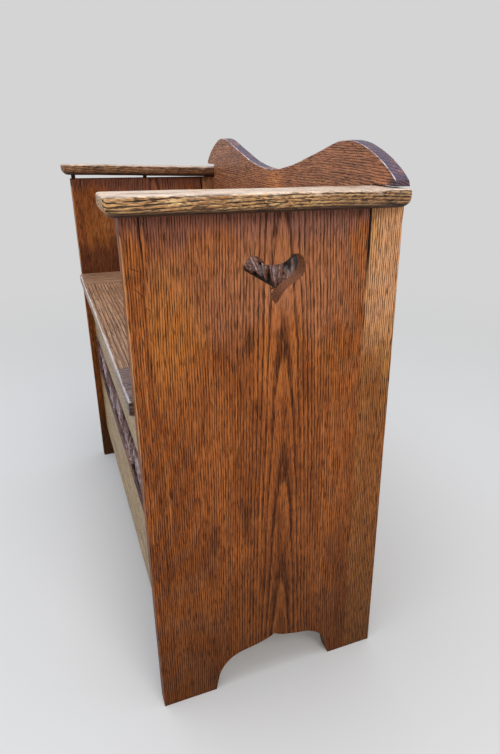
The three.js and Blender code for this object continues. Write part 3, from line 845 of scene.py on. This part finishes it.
def carved(node, face, phase, pitch, leaves=(), pockets=()):
    """A carved rail: a grid in X and Z whose points stand back from the face by the carving's depth
    times one less the band's height, closed by plain edges and a flat back. The ground is punched by
    a product of sines and the leaves keep a chisel's ripple, a sine aslant."""
    low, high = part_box(node)
    columns = int((high[0] - low[0]) / carving_step) + 1
    rows = int((high[2] - low[2]) / carving_step) + 1
    x, z = np.meshgrid(np.linspace(low[0], high[0], columns), np.linspace(low[2], high[2], rows))
    v = z - (low[2] + high[2]) / 2
    edge = np.minimum(np.minimum(x - low[0], high[0] - x), np.minimum(z - low[2], high[2] - z))
    height = leaf_band(x, v, pitch, phase, high[0], leaves, pockets)
    short, long, low_wave = punch_waves
    punch = punch_depth * np.sin(x / short + 2 * np.sin(z / long)) * np.sin(z / low_wave)
    chisel = chisel_depth * np.sin(x / chisel_waves[0] + z / chisel_waves[1])
    height = height + np.where(height < 0.05, ground_level + punch, chisel)
    height = np.clip(height, 0, 1)
    soft = sum(np.roll(height, shift, axis) for shift in (-1, 1) for axis in (0, 1))
    height = (2 * height + soft) / 6
    frame_edge = np.clip((margin - edge) / margin_slope + 0.5, 0, 1)
    height = height * (1 - frame_edge) + frame_edge
    inner, outer = (low[1], high[1]) if face > 0 else (high[1], low[1])
    flip = -1 if face > 0 else 1
    depth_in = (1 - height) * carving_depth
    y = outer + depth_in * (1 if flip > 0 else -1)
    front = np.dstack([x, y, z]).reshape(-1, 3)
    index = np.arange(front.shape[0]).reshape(rows, columns)
    quads = np.stack([index[:-1, :-1], index[:-1, 1:], index[1:, 1:], index[1:, :-1]], -1).reshape(-1, 4)
    rim = np.concatenate([index[0, :-1], index[:-1, -1], index[-1, :0:-1], index[:0:-1, 0]])
    behind = front[rim].copy()
    behind[:, 1] = inner
    back = np.arange(len(rim)) + len(front)
    walls = np.stack([rim, back, np.roll(back, -1), np.roll(rim, -1)], -1)
    faces = quads.tolist() + walls.tolist() + [back[::-1].tolist()]
    if flip < 0:
        faces = [face_points[::-1] for face_points in faces]
    points = np.vstack([front, behind])
    hollow = np.concatenate([(1 - height).ravel(), np.zeros(len(rim))])
    ridge_wear_and_highlight = np.clip((height - ridge_from) / ridge_span, 0, 1) * (1 - frame_edge) * ridge_rub_and_highlight
    return points, faces, {"hollow": hollow, "worn": np.concatenate([ridge_wear_and_highlight.ravel(), np.zeros(len(rim))])}


# The ridges' pale lavender tone is rubbed wood with a painted highlight.
carved_tones = palette(
    light=(158, 114, 104), dark=(122, 82, 76), glow=(170, 120, 100), band=(90, 58, 52), pore=(50, 32, 30),
    worn=(222, 206, 214), grime=(13, 8, 8),
)
back_rail_tones = dict(carved_tones, light=shade(160, 112, 92), dark=shade(120, 78, 62))
back_rail_oak = oak("back_carved_oak", "back_carved_rail", "X", back_rail_tones, 3.3, ring=6, bold=0.2,
                    lines=0.4, gloss=0.34, coat=0.3, shine=0.45)
low_leaves = [
    ((-0.146, 0.006), math.radians(-26), 0.100, 0.0165, 3, 0.0),
    ((-0.050, 0.012), math.radians(-69), 0.058, 0.0130, 3, 0.0),
    ((0.016, 0.014), math.radians(-80), 0.062, 0.0135, 5, 0.0),
    ((0.056, 0.026), math.radians(-100), 0.066, 0.0120, 3, 0.0),
]
piece("back_leaf_rail", carved("back_carved_rail", -1, 0.0, 0.131, low_leaves), back_rail_oak,
      ["back_carved_rail"], smooth=75)

# ---- The chest's front ---------------------------
# Two plain boards and the carved rail between them stand between the ends, a little back from their
# front edges. The plain boards keep a hard old polish of an olive-brown colour, made lighter by a
# painted sheen of that polish seen at a low angle.
front_tones = palette(
    light=(180, 144, 84), dark=(146, 114, 62), glow=(190, 152, 80), band=(112, 86, 48), pore=(66, 48, 30),
    worn=(206, 184, 136), grime=(40, 28, 18),
)
# Painted reflection: a grey sheen on the far end of the top rail, seen at a low angle.
sky_bloom = [("smudge", (-340, 46), (120, 50), 0.5, shade(150, 148, 158))]
front_boards = (("front_top_rail", 2.2, (30, -60), sky_bloom), ("front_lower_board", 4.4, (-20, -50), []))
for node, seed, pith, marks in front_boards:
    wood = oak(f"{node}_oak", node, "X", front_tones, seed, ring=5.5, pith=pith, gloss=0.36, coat=0.15,
               lines=0.4, bold=0.2, marks=marks)
    plank(node, "Y", wood, seed=seed, share=slightly)
front_rail_tones = dict(carved_tones, light=shade(136, 110, 110), dark=shade(98, 76, 78))
front_rail_oak = oak("front_carved_oak", "front_carved_rail", "X", front_rail_tones, 5.1, ring=6, bold=0.3,
                     lines=0.5, gloss=0.5, shine=0.25)
end_leaves = [((-0.302, 0.036), math.radians(-34), 0.100, 0.017, 2, 0.0)]
deep_pockets = [(0.204, 0.232, 0.030, 0.0505), (-0.04, -0.028, 0.02, 0.05), (0.09, 0.104, -0.03, 0.0)]
front_carving = carved("front_carved_rail", -1, 0.35, 0.118, end_leaves, deep_pockets)
piece("front_leaf_rail", front_carving, front_rail_oak, ["front_carved_rail"], smooth=75)

# ---- The seat ------------------------------------
# Fixed cross boards close the seat at both ends and a rail carries the hinges. Between them the lid
# is two lengthwise boards on two battens. Its front edge is rounded and the wax is worn on top.
seat_tones = palette(
    light=(172, 130, 98), dark=(138, 98, 70), glow=(200, 158, 122), band=(88, 58, 40), pore=(52, 34, 24),
    worn=(204, 196, 194), grime=(40, 26, 18),
)
nosing = 0.003
seat_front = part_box("lid_front_board")[0][1]
front_width, front_rub = 0.001, 0.9


def seat_share(loop):
    """The seat is rubbed along its front edge; its seams are tight."""
    return np.where(loop[:, 1] < seat_front + front_width, front_rub, 0.0)


# The right seat end is greyed with painted shade from the end panel beside it, and has dark dirt spots.
end_grime = [
    ("smudge", (-120, 0), (110, 160), 0.95, shade(118, 98, 102)),
    ("smudge", (-166, 52), (9, 12), 0.9, shade(38, 22, 14)),
    ("scratch", (-161, 2), (-154, 3), 3.0, 0.9, shade(30, 20, 16)),
]
for label, seed, marks in (("left", 1.3, []), ("right", 2.9, end_grime)):
    wood = oak(f"{label}_seat_end_oak", f"{label}_seat_end", "Y", seat_tones, seed, ring=5, pith=(40, -50),
               gloss=0.4, coat=0.2, shine=0.4, marks=marks)
    plank(f"{label}_seat_end", "Z", wood, nosing, seed, share=seat_share)
lid_half = (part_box("lid_front_board")[1][1] - seat_front) * 500
# The blue-grey band along the far half of the lid's front edge is a painted reflection.
lid_marks = [
    ("smudge", (-175, -lid_half), (220, 7), 0.8, shade(158, 162, 180)),
    ("scratch", (13, -92), (17, -18), 2.6, 1.0, shade(230, 210, 186)),
]
lid_wood = dict(pore=(0.9, 80), lines=0.85, bold=0.15, gloss=0.38, coat=0.2, shine=0.4)
lid_front_oak = oak("lid_front_oak", "lid_front_board", "X", seat_tones, 3.7, ring=6, pith=(30, -90),
                    slope=0.004, wander=4, marks=lid_marks, **lid_wood)
plank("lid_front_board", "Z", lid_front_oak, nosing, 3.7, "lid", seat_share)
for node, seed in (("lid_back_board", 4.9), ("hinge_rail", 6.2)):
    dress(node, oak(f"{node}_oak", node, "X", seat_tones, seed, ring=4.2, slope=0.01, **lid_wood))

# ---- Inside the chest ----------------------------
# Unfinished wood: three floor boards on cleats, cleats under the seat, a glue block in each corner
# and two battens under the lid. It has only darkened with age and dust.
inside_tones = palette(
    light=(182, 148, 104), dark=(148, 114, 76), glow=(190, 150, 100), band=(126, 92, 60),
    pore=(86, 60, 40), worn=(206, 180, 140), grime=(60, 44, 30),
)
inside = {
    "X": ["floor_front_board", "floor_middle_board", "floor_back_board", "floor_front_cleat",
          "floor_back_cleat", "back_seat_cleat"],
    "Y": ["left_seat_cleat", "right_seat_cleat"],
    "Z": [f"{end}_{side}_glue_block" for end in ("left", "right") for side in ("front", "back")],
}
for grain, nodes in inside.items():
    wood = oak(f"inside_oak_{grain}", nodes[0], grain, inside_tones, 8.3, ring=4, gloss=0.66, coat=0.0)
    for number, node in enumerate(nodes):
        plank(node, "X" if grain == "Z" else "Z", wood, 0.001, 2.0 + number, share=slightly)
batten_oak = oak("batten_oak", "lid_left_batten", "Y", inside_tones, 2.6, ring=4, gloss=0.62, coat=0.0)
for node in ("lid_left_batten", "lid_right_batten"):
    plank(node, "Z", batten_oak, 0.0025, 5.0, "lid")

# ---- The hinges ----------------------------------
# Two cast brass butt hinges are let in flush, each with a fixed leaf, a lid leaf, a pin and four
# countersunk screws. The brass has gone dull, with brown spots.


def brass(name):
    finish = Finish(name, Metallic=1.0, Coat_Weight=0.0)
    x, y, z = finish.millimetres()
    tarnish = finish.noise(x, y, z, (7, 7, 7), 5.0, 0.62)
    grain = finish.noise(x, y, z, (0.6, 9, 0.6), 3.0)
    spots = finish.noise(x + 50, y, z, (2.2, 2.2, 2.2), 3.0)
    colour = finish.blend(finish.step(tarnish, 0.36, 0.66), shade(112, 84, 44), shade(178, 146, 78))
    colour = finish.blend(finish.step(spots, 0.60, 0.72) * 0.8, colour, shade(62, 46, 30))
    roughness = 0.34 + (tarnish - 0.5) * -0.5 + finish.step(spots, 0.58, 0.72) * 0.25
    return finish.cover(colour, roughness, grain * 0.3 + tarnish * 0.4, 0.00025)


hinge_brass = brass("hinge_brass")
for label in ("left", "right"):
    for part in ("fixed_leaf", "lid_leaf", "pin"):
        dress(f"{label}_hinge_{part}", hinge_brass)
    for owner in ("rail", "lid"):
        for which in ("a", "b"):
            dress(f"{label}_hinge_{owner}_screw_{which}", hinge_brass)

# ---- The floor and the light ---------------------
# A pale floor that fades into an even grey surround, one wide cool light overhead and a soft warm one
# from the viewer's side.
surround = 0.658
world = bpy.data.worlds.new("surround")
world.use_nodes = True
world.node_tree.nodes["Background"].inputs["Color"].default_value = (surround, surround, surround, 1)
world.node_tree.nodes["Background"].inputs["Strength"].default_value = 1.0
bpy.context.scene.world = world

floor_reach = 14
floor_level = -0.0002
rings, spokes = 24, 64
angle = np.arange(spokes) * 2 * math.pi / spokes
far = floor_reach * (np.arange(1, rings + 1) / rings) ** 2
sink = np.full((rings, spokes), floor_level)
disc = np.dstack([far[:, None] * np.cos(angle), far[:, None] * np.sin(angle), sink])
index = np.arange(rings * spokes).reshape(rings, spokes)
floor_mesh = bpy.data.meshes.new("floor")
floor_faces = ring_faces(index[:, ::-1]) + [index[0].tolist()]
floor_mesh.from_pydata(disc.reshape(-1, 3).tolist(), [], floor_faces)
floor = bpy.data.objects.new("floor", floor_mesh)
bpy.context.scene.collection.objects.link(floor)
paper = Finish("floor", Roughness=0.9, Specular_IOR_Level=0.1)
x, y, z = paper.millimetres()
fade_from, fade_to = 700, 2600     # millimetres from the middle
least_fade = 0.08
floor_grey = 0.67
fade = paper.step((x * x + y * y).root(), fade_from, fade_to) * (1 - least_fade) + least_fade
feed(paper.tree, paper.shader.inputs["Base Color"], (floor_grey, floor_grey, floor_grey, 1))
glow = paper.node("Emission", {}, {"Color": (surround, surround, surround, 1), "Strength": 1.0})
plain = Value(paper.tree, paper.shader.outputs[0])
mixed = paper.node("MixShader", {}, {0: fade, 1: plain, 2: glow})
feed(paper.tree, paper.tree.nodes["Material Output"].inputs["Surface"], mixed)
floor_mesh.materials.append(paper.material)


def soft_light(name, place, target, size, power, colour):
    lamp = bpy.data.lights.new(name, "AREA")
    lamp.shape = "DISK"
    lamp.size = size
    lamp.energy = power
    lamp.color = colour
    made = bpy.data.objects.new(name, lamp)
    made.location = place
    made.rotation_euler = (Vector(target) - Vector(place)).to_track_quat("-Z", "Y").to_euler()
    bpy.context.scene.collection.objects.link(made)


soft_light("overhead", (0.3, -0.5, 3.0), (0, 0, 0.5), 2.2, 44, (0.84, 0.90, 1.0))
soft_light("viewer_side", (3.0, 0.4, 2.6), (0.4, 0, 0.55), 1.6, 40, (1.0, 0.96, 0.9))
